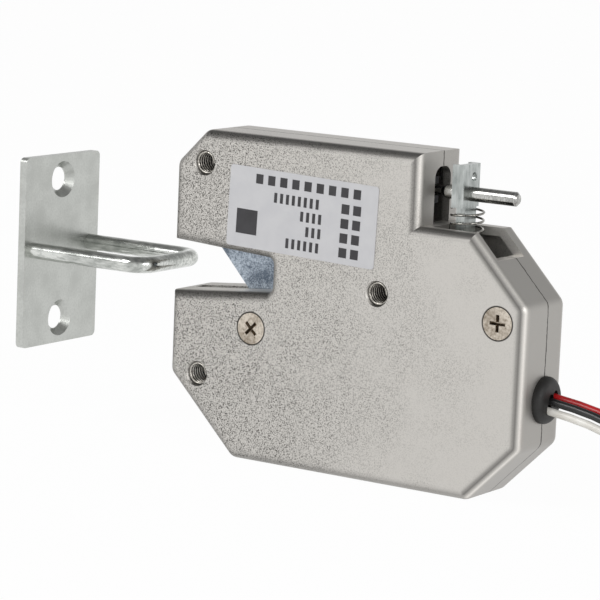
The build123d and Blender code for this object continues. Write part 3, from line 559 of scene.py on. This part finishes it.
# Marks as (centre across, centre up, width, height) in mm from the label's middle
row_step, bar_step = 2.55, 1.25
marks = [(-11.4, -2.6, 4.4, 4.4)]
marks += [(-9.2 + row_step * k, 5.3, 1.5, 1.7) for k in range(9)]
for row, (first, count) in enumerate([(-5.6, 8), (0.1, 4), (1.4, 3), (-2.6, 6)]):
    height = 2.45 - row_step * row
    marks += [(first + bar_step * k, height, 0.62, 1.75) for k in range(count)]
    marks += [(9.0, height, 1.6, 1.7), (11.4, height, 1.6, 1.7)]
marks = np.array(marks) / 1000
corner = np.array([(i, j, k) for i in (-1, 1) for j in (-1, 1) for k in (-1, 1)]) / 2
flat_x = marks[:, None, 0] + corner[None, :, 0] * marks[:, None, 2]
flat_z = marks[:, None, 1] + corner[None, :, 2] * marks[:, None, 3]
# Turned by the label's tilt in the face's plane: x cos + z sin, z cos - x sin
ink = np.stack([
    label_x + flat_x * math.cos(label_tilt) + flat_z * math.sin(label_tilt),
    film_y + ink_thick * 2 * corner[None, :, 1] + 0 * flat_x,
    label_z + flat_z * math.cos(label_tilt) - flat_x * math.sin(label_tilt),
], -1)
sides = np.array([
    (0, 1, 3, 2), (4, 6, 7, 5), (0, 4, 5, 1), (2, 3, 7, 6), (0, 2, 6, 4), (1, 5, 7, 3),
])
ink_faces = (sides[None] + 8 * np.arange(len(marks))[:, None, None]).reshape(-1, 4)
ink_mesh = bpy.data.meshes.new("label_bars")
ink_mesh.from_pydata(ink.reshape(-1, 3).tolist(), [], ink_faces.tolist())
label_bars = bpy.data.objects.new("label_bars", ink_mesh)
bpy.context.scene.collection.objects.link(label_bars)
face_out(label_bars)
ink_mesh.shade_flat()
ink_mesh.materials.append(moulded("black_label_ink", "#2B2A2C", "#353437", 0.5, 0.3, 0.002))
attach(label_bars, "lock")

# --- Strike ----------------------------------------------------------------------------------
# Pressed plate and bent round rod, riveted together and zinc plated bright.
finish(["strike_plate"], worked_metal("plate_zinc", "#C4C6C2", "#B6B8B4", 0.34, 0.4, 0.004))
rod_zinc = worked_metal("rod_zinc", "#DADCD8", "#A5A8A4", 0.16, 0.45, 0.012, (4, 1, 1))
finish(["strike_loop"], rod_zinc)

# --- Floor, light and camera -----------------------------------------------------------------
# White bench that the camera and the metal see as plain white and that keeps the shadow, a
# pale sky that dims overhead, and two soft boxes.
bench_side = 6
bench_grey = 0.88
seen_white = 0.97
bpy.ops.mesh.primitive_plane_add(size=bench_side, location=(0, 0, 0))
bench = bpy.context.active_object
bench.name = "bench"
bench_white, tree, shader = new_material("bench_white")
shader.inputs["Base Color"].default_value = (bench_grey, bench_grey, bench_grey, 1)
shader.inputs["Roughness"].default_value = 0.9
seen = add(tree, "ShaderNodeLightPath")
glow = add(tree, "ShaderNodeEmission", {"Color": (1, 1, 1, 1), "Strength": 1.0})
rays = add(tree, "ShaderNodeMath", {
    0: seen.outputs["Is Camera Ray"], 1: seen.outputs["Is Glossy Ray"],
}, operation="MAXIMUM")
rays = add(tree, "ShaderNodeMath", {
    0: rays.outputs[0], 1: seen.outputs["Is Transmission Ray"],
}, operation="MAXIMUM")
rays = add(tree, "ShaderNodeMath", {0: rays.outputs[0], 1: seen_white}, operation="MULTIPLY")
mixed = add(tree, "ShaderNodeMixShader", {
    0: rays.outputs[0], 1: shader.outputs[0], 2: glow.outputs[0],
})
tree.links.new(mixed.outputs[0], tree.nodes["Material Output"].inputs["Surface"])
bench.data.materials.append(bench_white)

world = bpy.data.worlds.new("studio")
bpy.context.scene.world = world
world.use_nodes = True
tree = world.node_tree
tree.nodes.clear()
way = add(tree, "ShaderNodeTexCoord")
up = add(tree, "ShaderNodeSeparateXYZ", {"Vector": way.outputs["Generated"]})
sky = add(tree, "ShaderNodeMapRange", {
    "Value": up.outputs["Z"],
    "From Min": 0.05, "From Max": 0.8, "To Min": 1.05, "To Max": 0.25,
})
seen = add(tree, "ShaderNodeLightPath")
sky = add(tree, "ShaderNodeMath", {
    0: sky.outputs[0], 1: seen.outputs["Is Camera Ray"],
}, operation="MAXIMUM")
light = add(tree, "ShaderNodeBackground", {"Color": (1, 1, 1, 1), "Strength": sky.outputs[0]})
add(tree, "ShaderNodeOutputWorld", {"Surface": light.outputs[0]})


def soft_box(name, place, size, power):
    """A square area lamp at place, turned to face the middle of the body."""
    lamp = bpy.data.lights.new(name, "AREA")
    lamp.size = size
    lamp.energy = power
    holder = bpy.data.objects.new(name, lamp)
    holder.location = place
    towards = Vector((0, 0, 0.03)) - Vector(place)
    holder.rotation_euler = towards.to_track_quat("-Z", "Y").to_euler()
    bpy.context.scene.collection.objects.link(holder)


soft_box("key_box", place=(-0.35, -0.55, 0.55), size=0.35, power=2.6)
soft_box("fill_box", place=(0.65, -0.25, 0.3), size=0.3, power=1.2)

azimuth = math.radians(33.31)
elevation = math.radians(9.203)
roll = math.radians(2.397)
aim = Vector((-0.0085, -0.0066, 0.0305))
distance = 0.523
sensor_width = 36.0
focal_to_image_side = 2986.0 / 600
right = Vector((math.cos(azimuth), math.sin(azimuth), 0))
back = Vector((
    math.sin(azimuth) * math.cos(elevation),
    -math.cos(azimuth) * math.cos(elevation),
    math.sin(elevation),
))
upward = back.cross(right)
tilted_right = right * math.cos(roll) + upward * math.sin(roll)
tilted_up = upward * math.cos(roll) - right * math.sin(roll)
lens = bpy.data.cameras.new("camera")
lens.sensor_width = sensor_width
lens.lens = focal_to_image_side * sensor_width
lens.clip_start = 0.01
camera = bpy.data.objects.new("camera", lens)
bpy.context.scene.collection.objects.link(camera)
turned = Matrix((tilted_right, tilted_up, back)).transposed().to_4x4()
camera.matrix_world = Matrix.Translation(aim + back * distance) @ turned
bpy.context.scene.camera = camera
bpy.context.scene.view_settings.view_transform = "Standard"
